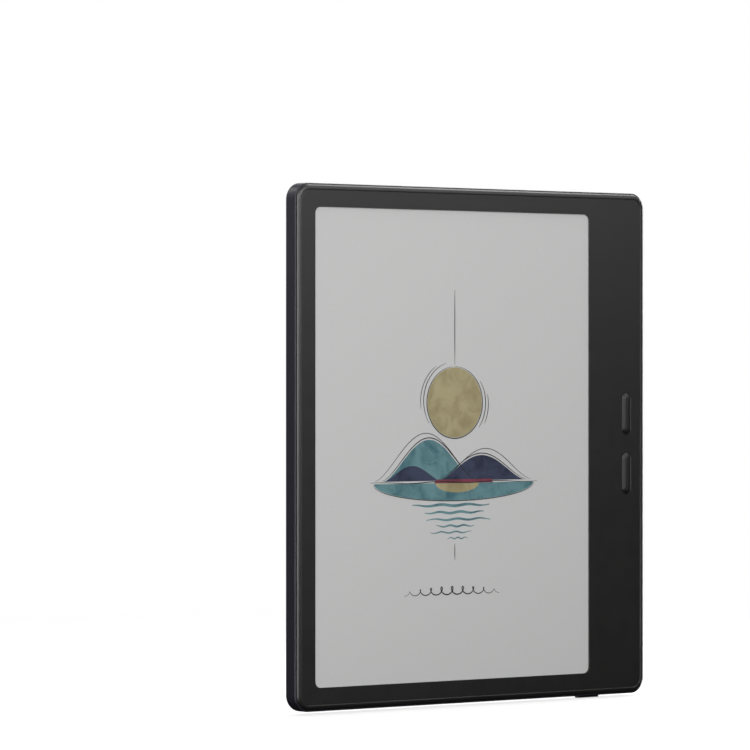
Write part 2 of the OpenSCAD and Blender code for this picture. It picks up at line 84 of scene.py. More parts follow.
def rounded_rect(x0, x1, z0, z1, left_r, right_r=None, steps=ARC_STEPS):
    """Points round a rectangle, anticlockwise, with one corner radius on each side."""
    right_r = left_r if right_r is None else right_r
    corners = ((x1, z1, right_r, 0), (x0, z1, left_r, 90), (x0, z0, left_r, 180), (x1, z0, right_r, 270))
    points = []
    for x, z, r, start in corners:
        cx = x - r if x == x1 else x + r
        cz = z - r if z == z1 else z + r
        for k in range(steps + 1):
            a = math.radians(start + 90 * k / steps)
            points.append((cx + r * math.cos(a), cz + r * math.sin(a)))
    return points


def pill(x, z, w, h, grow=0.0, steps=ARC_STEPS):
    """Points round an upright slot with round ends."""
    half_w, half_h = w / 2 + grow, h / 2 + grow
    return rounded_rect(x - half_w, x + half_w, z - half_h, z + half_h, half_w, steps=steps)


def body_outline(inset):
    """The body's outline, drawn in by inset."""
    return rounded_rect(inset - HALF_W, HALF_W - inset, inset - HALF_H, HALF_H - inset, CORNER_R - inset)


def fillet(corners, steps=5):
    """A line through (a, b, radius) corners, with an arc of that radius at each one."""
    line = []
    for k, (a, b, r) in enumerate(corners):
        here = Vector((a, b))
        if r == 0 or k in (0, len(corners) - 1):
            line.append((a, b))
            continue
        back = (Vector(corners[k - 1][:2]) - here).normalized()
        ahead = (Vector(corners[k + 1][:2]) - here).normalized()
        half = back.angle(ahead) / 2
        centre = here + (back + ahead).normalized() * (r / math.sin(half))
        start = here + back * (r / math.tan(half)) - centre
        end = here + ahead * (r / math.tan(half)) - centre
        sweep = math.atan2(start.x * end.y - start.y * end.x, start.dot(end))
        for i in range(steps + 1):
            turned = Matrix.Rotation(sweep * i / steps, 2) @ start
            line.append(tuple(centre + turned))
    return line


# ---- Solids ----

def facing(points, depth):
    """A flat outline in X and Z, stood at a depth in front of the back face."""
    return [Vector((x, -depth, z)) for x, z in points]


def from_side(points, x):
    """An outline in depth and height, stood at x on the grip side."""
    return [Vector((x, -depth, z)) for depth, z in points]


def from_below(points, z):
    """An outline in x and depth, stood at height z."""
    return [Vector((x, -depth, z)) for x, depth in points]


def loft(rings):
    """A closed solid skinned over rings with equally many points."""
    n = len(rings[0])
    verts = [p for ring in rings for p in ring]
    faces = []
    for k in range(len(rings) - 1):
        low, high = k * n, (k + 1) * n
        faces += [(low + i, low + (i + 1) % n, high + (i + 1) % n, high + i) for i in range(n)]
    last = (len(rings) - 1) * n
    return verts, faces + [tuple(range(n))[::-1], tuple(range(last, last + n))]


def build(name, *solids):
    """One object, in metres, from (verts, faces) solids in millimetres, with its normals facing out."""
    mesh = bpy.data.meshes.new(name)
    verts, faces = [], []
    for solid_verts, solid_faces in solids:
        first = len(verts)
        verts += [Vector(v) * MM for v in solid_verts]
        faces += [tuple(first + i for i in face) for face in solid_faces]
    mesh.from_pydata(verts, [], faces)
    bm = bmesh.new()
    bm.from_mesh(mesh)
    bmesh.ops.remove_doubles(bm, verts=bm.verts, dist=1e-8)
    bmesh.ops.dissolve_degenerate(bm, edges=bm.edges, dist=1e-8)
    bmesh.ops.recalc_face_normals(bm, faces=bm.faces)
    bm.to_mesh(mesh)
    bm.free()
    obj = bpy.data.objects.new(name, mesh)
    bpy.context.scene.collection.objects.link(obj)
    return obj


def settle(obj):
    """Replaces the object's mesh by what its modifiers make of it."""
    bpy.context.view_layer.update()
    graph = bpy.context.evaluated_depsgraph_get()
    made = bpy.data.meshes.new_from_object(obj.evaluated_get(graph))
    obj.modifiers.clear()
    old = obj.data
    obj.data = made
    bpy.data.meshes.remove(old)


def carve(obj, *solids):
    """Cuts closed solids, which don't cross each other, out of the object."""
    cutter = build("cutter", *solids)
    cut = obj.modifiers.new("cut", "BOOLEAN")
    cut.operation, cut.solver, cut.object = "DIFFERENCE", "EXACT", cutter
    settle(obj)
    bpy.data.objects.remove(cutter)


def join_to(obj, *solids):
    """Unites closed solids with the object."""
    for solid in solids:
        other = build("joined", solid)
        unite = obj.modifiers.new("unite", "BOOLEAN")
        unite.operation, unite.solver, unite.object = "UNION", "EXACT", other
        settle(obj)
        bpy.data.objects.remove(other)


def smooth(obj, angle=28):
    """Smooth shading that keeps flats flat and corners sharper than angle sharp."""
    obj.data.polygons.foreach_set("use_smooth", [True] * len(obj.data.polygons))
    obj.data.set_sharp_from_angle(angle=math.radians(angle))
    weighted = obj.modifiers.new("normals", "WEIGHTED_NORMAL")
    weighted.keep_sharp = True
    weighted.weight = 100
    return obj


def place(obj, material, body, slot, *replaced):
    """Gives a finished piece its material and its body, and hides the CAD nodes that it stands for; the slot
    is not used.
    """
    obj.data.materials.clear()
    obj.data.materials.append(material)
    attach(obj, body)
    if replaced:
        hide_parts(*replaced)
    return obj


# ---- Materials ----

def new_material(name):
    mat = bpy.data.materials.new(name)
    mat.use_nodes = True
    tree = mat.node_tree
    return mat, tree, tree.nodes["Principled BSDF"]


def object_point(tree):
    return tree.nodes.new("ShaderNodeTexCoord").outputs["Object"]


def noise_node(tree, point, scale, detail=3.0, rough=0.5, distortion=0.0):
    node = tree.nodes.new("ShaderNodeTexNoise")
    node.inputs["Scale"].default_value = scale
    node.inputs["Detail"].default_value = detail
    node.inputs["Roughness"].default_value = rough
    node.inputs["Distortion"].default_value = distortion
    tree.links.new(point, node.inputs["Vector"])
    return node.outputs["Fac"]


def ramp(tree, fac, *stops):
    node = tree.nodes.new("ShaderNodeValToRGB")
    while len(node.color_ramp.elements) < len(stops):
        node.color_ramp.elements.new(0.5)
    for element, (at, colour) in zip(node.color_ramp.elements, stops, strict=True):
        element.position = at
        element.color = (*colour, 1)
    tree.links.new(fac, node.inputs["Fac"])
    return node.outputs["Color"]


def spread(tree, fac, low, high, start=0.3, end=0.7):
    node = tree.nodes.new("ShaderNodeMapRange")
    node.inputs["From Min"].default_value = start
    node.inputs["From Max"].default_value = end
    node.inputs["To Min"].default_value = low
    node.inputs["To Max"].default_value = high
    tree.links.new(fac, node.inputs["Value"])
    return node.outputs["Result"]


def bump(tree, height, depth, under=None):
    node = tree.nodes.new("ShaderNodeBump")
    node.inputs["Distance"].default_value = depth
    node.inputs["Strength"].default_value = 1.0
    tree.links.new(height, node.inputs["Height"])
    if under is not None:
        tree.links.new(under, node.inputs["Normal"])
    return node.outputs["Normal"]


def shade(colour, by):
    return tuple(min(1.0, c * by) for c in colour)


def moulded(name, colour, rough=0.5, mottle=0.04, grain=5200, depth=0.000004, spec=0.5, metal=0.0):
    """Moulded or plated material: a fine even grain, a faint mottle and a roughness that varies with it."""
    mat, tree, shader = new_material(name)
    point = object_point(tree)
    cloud = noise_node(tree, point, 90, 4)
    tree.links.new(ramp(tree, cloud, (0.3, shade(colour, 1 - mottle)), (0.7, shade(colour, 1 + mottle))),
                   shader.inputs["Base Color"])
    tree.links.new(spread(tree, noise_node(tree, point, 260, 3), rough - 0.02, rough + 0.02),
                   shader.inputs["Roughness"])
    tree.links.new(bump(tree, noise_node(tree, point, grain, 2), depth), shader.inputs["Normal"])
    shader.inputs["Specular IOR Level"].default_value = spec
    shader.inputs["Metallic"].default_value = metal
    return mat


def leather(name, colour):
    """Coated leather: fine pebbles, drawn out into slanting wrinkles low down, with painted shade in the
    creases and a painted highlight on the ridges.
    """
    mat, tree, shader = new_material(name)
    point = object_point(tree)
    mapping = tree.nodes.new("ShaderNodeMapping")
    mapping.vector_type = "TEXTURE"
    mapping.inputs["Rotation"].default_value = (0, math.radians(30), 0)
    mapping.inputs["Scale"].default_value = (2.0, 1.0, 1.0)
    tree.links.new(point, mapping.inputs["Vector"])
    pebble = spread(tree, noise_node(tree, point, 1600, 1, 0.5, 0.2), 0, 1, 0.36, 0.6)
    wrinkle = spread(tree, noise_node(tree, mapping.outputs["Vector"], 1700, 1, 0.5, 0.5), 0, 1, 0.34, 0.62)
    split = tree.nodes.new("ShaderNodeSeparateXYZ")
    tree.links.new(point, split.inputs[0])
    low_down = spread(tree, split.outputs["Z"], 0.85, 0.15, -0.07, 0.06)
    mix = tree.nodes.new("ShaderNodeMix")
    tree.links.new(low_down, mix.inputs[0])
    tree.links.new(pebble, mix.inputs[2])
    tree.links.new(wrinkle, mix.inputs[3])
    height = mix.outputs[0]
    # Painted light: the colour drops to a twentieth in the creases as painted shade and rises by half on the
    # ridges as painted highlight.
    tree.links.new(ramp(tree, height, (0.0, shade(colour, 0.05)), (0.4, shade(colour, 0.75)),
                        (0.9, shade(colour, 1.5))), shader.inputs["Base Color"])
    tree.links.new(spread(tree, height, 0.7, 0.5, 0, 1), shader.inputs["Roughness"])
    folds = bump(tree, height, 0.00028)
    tree.links.new(bump(tree, noise_node(tree, point, 5200, 2), 0.000012, folds), shader.inputs["Normal"])
    shader.inputs["Specular IOR Level"].default_value = 0.5
    return mat


def paper_screen(name, colour):
    """Matt electronic paper under an anti-glare film: even grey with a barely visible tooth."""
    mat, tree, shader = new_material(name)
    point = object_point(tree)
    tooth = noise_node(tree, point, 3600, 2)
    tree.links.new(ramp(tree, tooth, (0.3, shade(colour, 0.985)), (0.7, shade(colour, 1.015))),
                   shader.inputs["Base Color"])
    tree.links.new(bump(tree, tooth, 0.000003), shader.inputs["Normal"])
    shader.inputs["Roughness"].default_value = 0.55
    shader.inputs["Specular IOR Level"].default_value = 0.3
    return mat


def pigment(name, pale, dark, scale=160):
    """Printed wash: its tone drifts and pools as watercolour does."""
    mat, tree, shader = new_material(name)
    point = object_point(tree)
    wash = noise_node(tree, point, scale, 5, 0.6, 0.6)
    tree.links.new(ramp(tree, wash, (0.32, dark), (0.56, pale), (0.8, shade(pale, 1.12))),
                   shader.inputs["Base Color"])
    tree.links.new(bump(tree, noise_node(tree, point, 3600, 2), 0.000003), shader.inputs["Normal"])
    shader.inputs["Roughness"].default_value = 0.55
    shader.inputs["Specular IOR Level"].default_value = 0.3
    return mat


CASING = moulded("casing_plastic", (0.025, 0.024, 0.034), rough=0.33)
BEZEL = moulded("bezel_plastic", (0.0045, 0.0045, 0.0042), rough=0.38, spec=0.9)
KEYS = moulded("key_plastic", (0.012, 0.012, 0.012), rough=0.36, spec=0.7)
POWER_KEY = moulded("power_key_plastic", (0.008, 0.008, 0.009), rough=0.4)
LEATHER = leather("leather_look", (0.041, 0.0435, 0.0505))
SCREEN = paper_screen("screen_film", (0.612, 0.612, 0.609))
RUBBER = moulded("rubber_black", (0.012, 0.012, 0.012), rough=0.75)
BLACK = moulded("black_moulding", (0.01, 0.01, 0.01), rough=0.6)
DARK_STEEL = moulded("blackened_steel", (0.07, 0.07, 0.075), rough=0.35, metal=1.0)
STEEL = moulded("plated_steel", (0.55, 0.55, 0.57), rough=0.3, metal=1.0, depth=0.000003)
GOLD = moulded("gold_plate", (0.85, 0.62, 0.25), rough=0.28, metal=1.0, depth=0.000002)


# ---- Rear casing ----

GRIP_EDGE = HALF_W
USB_Z, USB_D = 68.8, 2.75
SLOT_Z, SLOT_D = 53.8, 3.36
SLOT_W, SLOT_L = 0.7, 1.2
HOLE_Z, HOLE_D, HOLE_SIZE = -61.9, 3.2, 1.1
PORTS, PORT_PITCH = 8, 2.03
USB_SEAT = (3.2, 9.1)
USB_MOUTH = (2.9, 8.7)
USB_SEAT_IN, USB_EASE = 0.5, 0.09
MOUTH = 0.07
CUT_PAST = 1
RIB_X, RIB_W, PANEL_GAP = 43.1, 0.75, 0.16
PANEL_Z = HALF_H - 1.86
PANEL_DEPTH, POCKET_DEPTH = 0.4, 0.5
OUTER_R, RIB_R = 3.1, 2.0
tray_lo, tray_hi = box_mm("card_tray")
TRAY_Z = (tray_lo.z + tray_hi.z) / 2
TRAY_L = tray_hi.z - tray_lo.z
TRAY_D = -(tray_lo.y + tray_hi.y) / 2
TRAY_W = tray_hi.y - tray_lo.y
power_lo, power_hi = box_mm("power_button")
POWER_X = (power_lo.x + power_hi.x) / 2
POWER_L, POWER_T, POWER_D = 9.0, 1.9, 3.2
POWER_R, POWER_SLOT_R = 0.8, 0.9
SLOT_CLEAR = 0.1
GRIP_PANEL_X1 = HALF_W - CHAMFER_IN - 0.1 - PANEL_GAP


def main_panel_outline(grow):
    return rounded_rect(2 - HALF_W - grow, RIB_X - RIB_W / 2 - PANEL_GAP + grow,
                        -PANEL_Z - grow, PANEL_Z + grow, OUTER_R + grow, RIB_R + grow)


def grip_panel_outline(grow):
    return rounded_rect(RIB_X + RIB_W / 2 + PANEL_GAP - grow, GRIP_PANEL_X1 + grow,
                        -PANEL_Z - grow, PANEL_Z + grow, RIB_R + grow, OUTER_R + grow)


def side_opening(z, depth, w, h):
    """Cutter for a slot with round ends through the grip side, its mouth slightly eased."""
    stations = ((GRIP_EDGE - WALL - CUT_PAST, 0), (GRIP_EDGE - MOUTH, 0),
                (GRIP_EDGE, MOUTH), (GRIP_EDGE + CUT_PAST, MOUTH))
    return loft([from_side(pill(depth, z, w, h, grow, steps=8), x) for x, grow in stations])


def usb_opening():
    """Cutter for the charging port: a seat for the shell inside, then the mouth."""
    seat = [from_side(pill(USB_D, USB_Z, *USB_SEAT), x)
            for x in (GRIP_EDGE - WALL - CUT_PAST, GRIP_EDGE - USB_SEAT_IN)]
    stations = ((GRIP_EDGE - USB_SEAT_IN, 0), (GRIP_EDGE - USB_EASE, 0),
                (GRIP_EDGE, USB_EASE), (GRIP_EDGE + CUT_PAST, USB_EASE))
    mouth = [from_side(pill(USB_D, USB_Z, *USB_MOUTH, grow), x) for x, grow in stations]
    return loft(seat + mouth)


def power_ring(z, half_l, half_t, r):
    """An outline of the power key's shape, stood at height z."""
    return from_below(rounded_rect(POWER_X - half_l, POWER_X + half_l, POWER_D - half_t, POWER_D + half_t,
                                   r, steps=8), z)


def power_opening():
    """Cutter for the power key's slot through the bottom wall."""
    stations = ((-HALF_H + WALL + CUT_PAST, 0), (-HALF_H + MOUTH, 0),
                (-HALF_H, MOUTH), (-HALF_H - CUT_PAST, MOUTH))
    return loft([power_ring(z, POWER_L / 2 + SLOT_CLEAR + grow, POWER_T / 2 + SLOT_CLEAR + grow,
                            POWER_SLOT_R + grow) for z, grow in stations])


def pocket(outline):
    """Cutter for a back panel's pocket, its edge slightly eased."""
    ease = 0.04
    stations = ((PANEL_GAP, POCKET_DEPTH), (PANEL_GAP, ease),
                (PANEL_GAP + ease, 0), (PANEL_GAP + ease, -CUT_PAST))
    return loft([facing(outline(grow), depth) for grow, depth in stations])


def make_casing():
    """The tub: back face, chamfer, side wall, lip, and the inside of the wall, with its openings cut."""
    profile = fillet([(CHAMFER_IN + 0.3, 0, 0), (CHAMFER_IN, 0, 0.12), (0, CHAMFER_DEEP, 0.75),
                      (0, LIP_DEPTH, 0.3), (WALL, LIP_DEPTH, 0.08), (WALL, WALL, 0.1), (WALL + 0.5, WALL, 0)])
    casing = build("casing_shell", loft([facing(body_outline(inset), depth) for inset, depth in profile]))
    rows = [(i - (PORTS - 1) / 2) * PORT_PITCH for i in range(PORTS)]
    carve(casing, pocket(main_panel_outline), pocket(grip_panel_outline), usb_opening(), power_opening(),
          side_opening(TRAY_Z, TRAY_D, TRAY_W + 2 * SLOT_CLEAR, TRAY_L + 2 * SLOT_CLEAR),
          *[side_opening(SLOT_Z + row, SLOT_D, SLOT_W, SLOT_L) for row in rows],
          *[side_opening(HOLE_Z + row, HOLE_D, HOLE_SIZE, HOLE_SIZE) for row in rows])
    place(smooth(casing), CASING, "reader", "casing", "rear_casing")


# ---- Back panels ----

GRAIN_STEP = 0.43
GRAIN_DEPTH = 0.1
GRAIN_SLANT = math.radians(-30)
EDGE_ROLL, EDGE_DROP = 0.4, 0.3
CORNER_ROWS = 14


def grain(x, z):
    """Height from 0 to 1 of the pebbled surface at a point, in wrinkles that run aslant."""
    turn = GRAIN_SLANT + 0.7 * noise.noise(Vector((x * 0.05, z * 0.05, 3)))
    along = x * math.cos(turn) + z * math.sin(turn)
    across = z * math.cos(turn) - x * math.sin(turn)
    wrinkles = noise.noise(Vector((along / 1.5, across / 0.8, 0)))
    pebbles = noise.voronoi(Vector((along / 1.25, across / 0.95, 5)))[0]
    ridge = 1 - min(1, abs(wrinkles) * 2.2)
    cell = min(1, (pebbles[1] - pebbles[0]) * 2.2)
    return 0.45 * cell + 0.35 * (0.5 + wrinkles) + 0.2 * ridge


def panel_rows(z_top, r):
    """Heights of the grid's rows: evenly spaced, and by equal angles where the corners turn."""
    turns = [z_top - r + r * math.sin(math.radians(90 * k / CORNER_ROWS)) for k in range(1, CORNER_ROWS + 1)]
    straight = z_top - r
    count = round(2 * straight / GRAIN_STEP)
    middle = [-straight + 2 * straight * k / count for k in range(count + 1)]
    return [-z for z in reversed(turns)] + middle + turns


def side_reach(z, z_top, r):
    """How far a round corner of radius r draws the side in at height z."""
    above = max(0.0, abs(z) - (z_top - r))
    return r - math.sqrt(max(0.0, r * r - above * above))


def leather_panel(name, x0, x1, left_r, right_r, node):
    """A panel with a grained outer face, rolled edges and a flat back."""
    rows = panel_rows(PANEL_Z, max(left_r, right_r))
    count = round((x1 - x0) / GRAIN_STEP)
    verts, faces = [], []
    for z in rows:
        left = x0 + side_reach(z, PANEL_Z, left_r)
        right = x1 - side_reach(z, PANEL_Z, right_r)
        for i in range(count + 1):
            x = left + (right - left) * i / count
            edge = min(x - left, right - x, PANEL_Z - abs(z))
            roll = max(0.0, 1 - edge / EDGE_ROLL) ** 2
            depth = GRAIN_DEPTH * (1 - grain(x, z)) * (1 - 0.7 * roll) + EDGE_DROP * roll
            verts.append(Vector((x, -depth, z)))
    wide = count + 1
    last = len(rows) - 1
    for j in range(last):
        for i in range(count):
            at = j * wide + i
            faces.append((at, at + 1, at + wide + 1, at + wide))
    rim = list(range(wide)) + [j * wide + count for j in range(1, len(rows))]
    rim += list(range(last * wide + count - 1, last * wide - 1, -1))
    rim += [j * wide for j in range(last - 1, 0, -1)]
    first = len(verts)
    verts += [Vector((verts[i].x, -PANEL_DEPTH, verts[i].z)) for i in rim]
    for k in range(len(rim)):
        after = (k + 1) % len(rim)
        faces.append((rim[k], rim[after], first + after, first + k))
    faces.append(tuple(range(first, first + len(rim))))
    panel = build(name, (verts, faces))
    panel.data.polygons.foreach_set("use_smooth", [True] * len(panel.data.polygons))
    panel.data.set_sharp_from_angle(angle=math.radians(60))
    place(panel, LEATHER, "reader", "leather", node)


def make_back_panels():
    main_lo, main_hi = box_mm("main_panel")
    grip_lo, grip_hi = box_mm("grip_panel")
    leather_panel("leather_main", main_lo.x, main_hi.x, OUTER_R, RIB_R, "main_panel")
    leather_panel("leather_grip", grip_lo.x, grip_hi.x, RIB_R, OUTER_R, "grip_panel")


# ---- Front bezel ----

WINDOW_X0, WINDOW_X1 = 7.2 - HALF_W, 7.2 - HALF_W + 106.9
WINDOW_Z = 71.0
WINDOW_R = 2.0
SEAM_DEPTH, SEAT_DEPTH = 5.82, 5.8
GROOVE_DEPTH = FLAT_DEPTH - 0.03
KEY_Z = 9.3
KEY_W, KEY_H = 3.6, 12.7
KEY_X = HALF_W - 7.7
KEY_CLEAR = 0.1
film_lo, film_hi = box_mm("cover_film")
FILM_DEPTH = -film_lo.y


def rim_profile():
    """The frame's section from the skirt round the rim to the flat, as (inset, depth) points.

    The rim stands out past the skirt at the seam. A bevel and a broad gentle band rise to its crest, and a
    steep step with a fine groove at its foot goes down to the flat.
    """
    skirt = [(1.9, SKIRT_DEPTH, 0), (1.4, SKIRT_DEPTH, 0.1), (1.4, SEAM_DEPTH, 0)]
    bevel = [(0.64, SEAM_DEPTH, 0.03), (0.48, 5.94, 0.03), (0.5, 6.0, 0.05), (0.9, 6.27, 0.3)]
    crest = [(1.5, RIM_DEPTH - 0.005, 0.3), (1.83, RIM_DEPTH, 0.08)]
    foot = [(1.95, GROOVE_DEPTH, 0.03), (2.04, GROOVE_DEPTH, 0.02), (2.07, FLAT_DEPTH, 0.02),
            (2.9, FLAT_DEPTH, 0)]
    return fillet(skirt + bevel + crest + foot)


def window_outline(grow):
    return rounded_rect(WINDOW_X0 - grow, WINDOW_X1 + grow, -WINDOW_Z - grow, WINDOW_Z + grow,
                        WINDOW_R + grow)


def screen_opening():
    """Cutter for the screen: the film's seat from behind, then the window with its edge rounded."""
    seat = rounded_rect(film_lo.x - 0.8, film_hi.x + 0.3, film_lo.z - 0.6, film_hi.z + 0.6, 2.5)
    stations = ((0, SEAT_DEPTH), (0, FLAT_DEPTH - 0.08), (0.03, FLAT_DEPTH - 0.02), (0.1, FLAT_DEPTH),
                (0.1, RIM_DEPTH + CUT_PAST))
    return loft([facing(seat, SKIRT_DEPTH - CUT_PAST), facing(seat, SEAT_DEPTH),
                 *[facing(window_outline(grow), depth) for grow, depth in stations]])


def key_opening(z):
    """Cutter for a page key's slot, its edge slightly eased."""
    ease = 0.06
    stations = ((SKIRT_DEPTH - CUT_PAST, 0), (FLAT_DEPTH - ease, 0), (FLAT_DEPTH, ease),
                (RIM_DEPTH + CUT_PAST, ease))
    return loft([facing(pill(KEY_X, z, KEY_W, KEY_H, KEY_CLEAR + grow), depth) for depth, grow in stations])


def make_bezel():
    """The front frame, with the screen's window and the page keys' slots cut."""
    bezel = build("bezel_frame", loft([facing(body_outline(inset), depth) for inset, depth in rim_profile()]))
    carve(bezel, screen_opening(), key_opening(-KEY_Z), key_opening(KEY_Z))
    place(smooth(bezel), BEZEL, "reader", "bezel", "front_bezel")


# ---- Keys ----

PLUNGER_W, STEM_W = 1.4, 1.2


def page_key(name, z, body, node):
    """A key with a domed cap, its flange and its plunger."""
    lo, hi = box_mm(node)
    top = -lo.y
    dome = fillet([(0, 5.0, 0), (0, top - 0.62, 0.16), (0.95, top - 0.07, 0.5), (1.75, top, 0)], steps=6)
    cap = loft([facing(pill(KEY_X, z, KEY_W, KEY_H, -inset), depth) for inset, depth in dome])
    flange = loft([facing(pill(KEY_X, z, hi.x - lo.x, hi.z - lo.z, -inset), depth)
                   for inset, depth in ((0.05, 4.9), (0, 4.95), (0, 5.2), (0.05, 5.25))])
    plunger = loft([facing(pill(KEY_X, z, PLUNGER_W, PLUNGER_W, -inset), depth)
                    for inset, depth in ((0.1, -hi.y), (0, -hi.y + 0.1), (0, 4.95))])
    key = build(name, cap)
    join_to(key, flange, plunger)
    place(smooth(key, 40), KEYS, body, "keys", node)


def make_power_key():
    """The long key on the bottom edge, its outer edges rounded, with its flange and its stem."""
    bottom, inner = power_lo.z, -HALF_H + WALL + 0.1
    profile = fillet([(0.5, bottom, 0), (0, bottom, 0.28), (0, inner + 0.1, 0)])
    cap = loft([power_ring(z, POWER_L / 2 - inset, POWER_T / 2 - inset, POWER_R - inset)
                for inset, z in profile])
    key = build("power_key_cap", cap)
    flange = rounded_rect(power_lo.x, power_hi.x, POWER_D - 1.5, POWER_D + 1.5, 0.3, steps=4)
    stem = pill(POWER_X, POWER_D, STEM_W, STEM_W, steps=6)
    join_to(key, loft([from_below(flange, inner), from_below(flange, inner + 0.4)]),
            loft([from_below(stem, inner + 0.3), from_below(stem, power_hi.z)]))
    place(smooth(key, 40), POWER_KEY, "power", "power_key", "power_button")


# ---- Card tray and charging port ----

PIN_Z, PIN_D, PIN_R = 34.2, 2.5, 0.4
PIN_HOLE_DEEP = 3
BED_Z = (20.4, 32.4)
BED_D = (1.6, 2.4)
CARD_SEAT = (49.6, 64.8, 20.85, 31.95)
CARD_SEAT_D = (1, 2.2)
BED_WINDOW = (51, 63.5, 21.9, 30.9)
LEVER_NOTCH_Z = (30.3, 33)
LEVER_NOTCH_IN = 0.7
BED_CUT = (1, 3)
CONTACTS, CONTACT_PITCH = 12, 0.5


def side_block(x0, x1, z0, z1, d0, d1, r=0.1):
    """A solid along X with its long edges rounded."""
    ring = rounded_rect(d0, d1, z0, z1, r, steps=3)
    return loft([from_side(ring, x0), from_side(ring, x1)])


def make_tray():
    """The tray: a flush face with its pinhole, a neck for the seal, and an open bed for the card."""
    ease, pin_ease = 0.06, 0.05
    face = loft([from_side(pill(TRAY_D, TRAY_Z, TRAY_W, TRAY_L, -inset), x)
                 for x, inset in ((GRIP_EDGE - 0.6, 0.02), (GRIP_EDGE - 0.55, 0), (GRIP_EDGE - ease, 0),
                                  (GRIP_EDGE - ease * 0.3, ease * 0.3), (GRIP_EDGE, ease))])
    neck = loft([from_side(pill(TRAY_D, TRAY_Z, TRAY_W - 0.7, TRAY_L - 0.7), x)
                 for x in (GRIP_EDGE - WALL, GRIP_EDGE - 0.5)])
    tray = build("tray_body", face)
    join_to(tray, neck, side_block(tray_lo.x, GRIP_EDGE - WALL + 0.1, *BED_Z, *BED_D))
    stations = ((GRIP_EDGE - PIN_HOLE_DEEP, 0), (GRIP_EDGE - pin_ease, 0),
                (GRIP_EDGE, pin_ease), (GRIP_EDGE + CUT_PAST, pin_ease))
    pin = loft([from_side(pill(PIN_D, PIN_Z, 2 * PIN_R, 2 * PIN_R, grow, steps=8), x)
                for x, grow in stations])
    seat = loft([facing(rounded_rect(*CARD_SEAT, 0.4, steps=4), depth) for depth in CARD_SEAT_D])
    carve(tray, pin, seat)
    window = loft([facing(rounded_rect(*BED_WINDOW, 1, steps=6), depth) for depth in BED_CUT])
    notch = side_block(tray_lo.x - CUT_PAST, tray_lo.x + LEVER_NOTCH_IN, *LEVER_NOTCH_Z, *BED_CUT, 0.05)
    carve(tray, window, notch)
    place(smooth(tray), CASING, "tray", "casing", "card_tray")


def make_memory_card():
    """A memory card: clipped corner and side notch, with its contact pads facing forward."""
    lo, hi = box_mm("memory_card")
    outline = [(lo.x, lo.z), (hi.x, lo.z), (hi.x, hi.z), (lo.x + 7.2, hi.z), (lo.x + 6.6, hi.z - 0.8),
               (lo.x + 5.4, hi.z - 0.8), (lo.x + 4.8, hi.z - 1.5), (lo.x, hi.z - 1.5)]
    card = build("memory_card_body", loft([facing(outline, -hi.y), facing(outline, -lo.y - 0.02)]))
    place(smooth(card), BLACK, "tray", "black", "memory_card")
    pads = []
    for i in range(8):
        z0, z1 = lo.z + 0.9 + i * 1.1, lo.z + 1.7 + i * 1.1
        pad = rounded_rect(lo.x + 1.9, lo.x + 4.3, z0, z1, 0.15, steps=3)
        pads.append(loft([facing(pad, depth) for depth in (-lo.y - 0.05, -lo.y)]))
    place(smooth(build("memory_card_pads", *pads)), GOLD, "tray", "gold")


def make_port():
    """The charging port: a drawn shell with a rolled mouth, and a tongue with its contacts."""
    lo, hi = box_mm("usb_shell")
    outer_w, outer_h = hi.y - lo.y, hi.z - lo.z
    wall, roll = 0.24, 0.08
    mouth = fillet([(0, lo.x, 0), (0, hi.x, roll), (wall, hi.x, roll), (wall, lo.x + 0.4, 0)], steps=3)
    rings = [from_side(pill(USB_D, USB_Z, outer_w, outer_h, -inset), x) for inset, x in mouth]
    place(smooth(build("port_shell", loft(rings))), DARK_STEEL, "reader", "usb", "usb_shell")
    t_lo, t_hi = box_mm("usb_tongue")
    nose = fillet([(0, t_lo.x, 0), (0, t_hi.x, 0.15), (0.3, t_hi.x, 0)], steps=3)
    rings = [from_side(rounded_rect(-t_hi.y + inset, -t_lo.y - inset, t_lo.z + inset, t_hi.z - inset,
                                    0.05, steps=2), x) for inset, x in nose]
    place(smooth(build("port_tongue", loft(rings))), BLACK, "reader", "black", "usb_tongue")
    strips = []
    for i in range(CONTACTS):
        z = USB_Z + (i - (CONTACTS - 1) / 2) * CONTACT_PITCH
        for side in (-1, 1):
            face = -t_hi.y if side < 0 else -t_lo.y
            d0, d1 = sorted((face - side * 0.02, face + side * 0.015))
            strips.append(side_block(t_lo.x + 1.5, t_hi.x - 0.5, z - 0.13, z + 0.13, d0, d1, 0.005))
    place(smooth(build("port_contacts", *strips)), GOLD, "reader", "gold")


# ---- Screen picture ----

ART_X = (WINDOW_X0 + WINDOW_X1) / 2
ART_LIFT = 0.012
ART_SUNK = 0.004


def printed(name, material, layer, *outlines):
    """Flat shapes on the screen, as thin as ink. A higher layer lies over the lower ones."""
    top = FILM_DEPTH + ART_LIFT * (layer + 1)
    solids = [loft([facing(outline, FILM_DEPTH - ART_SUNK), facing(outline, top)]) for outline in outlines]
    place(build(name, *solids), material, "reader", "film")


def ribbon(points, width, layer, taper=0.5):
    """A pen line through points: a thin band that narrows towards its ends."""
    top = FILM_DEPTH + ART_LIFT * (layer + 1)
    last = len(points) - 1
    rings = []
    for k, (x, z) in enumerate(points):
        ahead = Vector(points[min(k + 1, last)]) - Vector(points[max(k - 1, 0)])
        side = Vector((-ahead.y, ahead.x)).normalized()
        side *= width / 2 * max(0.12, math.sin(math.pi * k / last)) ** taper
        left, right = (x + side.x, z + side.y), (x - side.x, z - side.y)
        rings.append([Vector((left[0], -top, left[1])), Vector((right[0], -top, right[1])),
                      Vector((right[0], -FILM_DEPTH + ART_SUNK, right[1])),
                      Vector((left[0], -FILM_DEPTH + ART_SUNK, left[1]))])
    return loft(rings)


def printed_lines(name, material, layer, strokes):
    """Pen lines on the screen, each a list of points and a width, as one piece."""
    pen_lines = build(name, *[ribbon(points, width, layer) for points, width in strokes])
    place(pen_lines, material, "reader", "film")


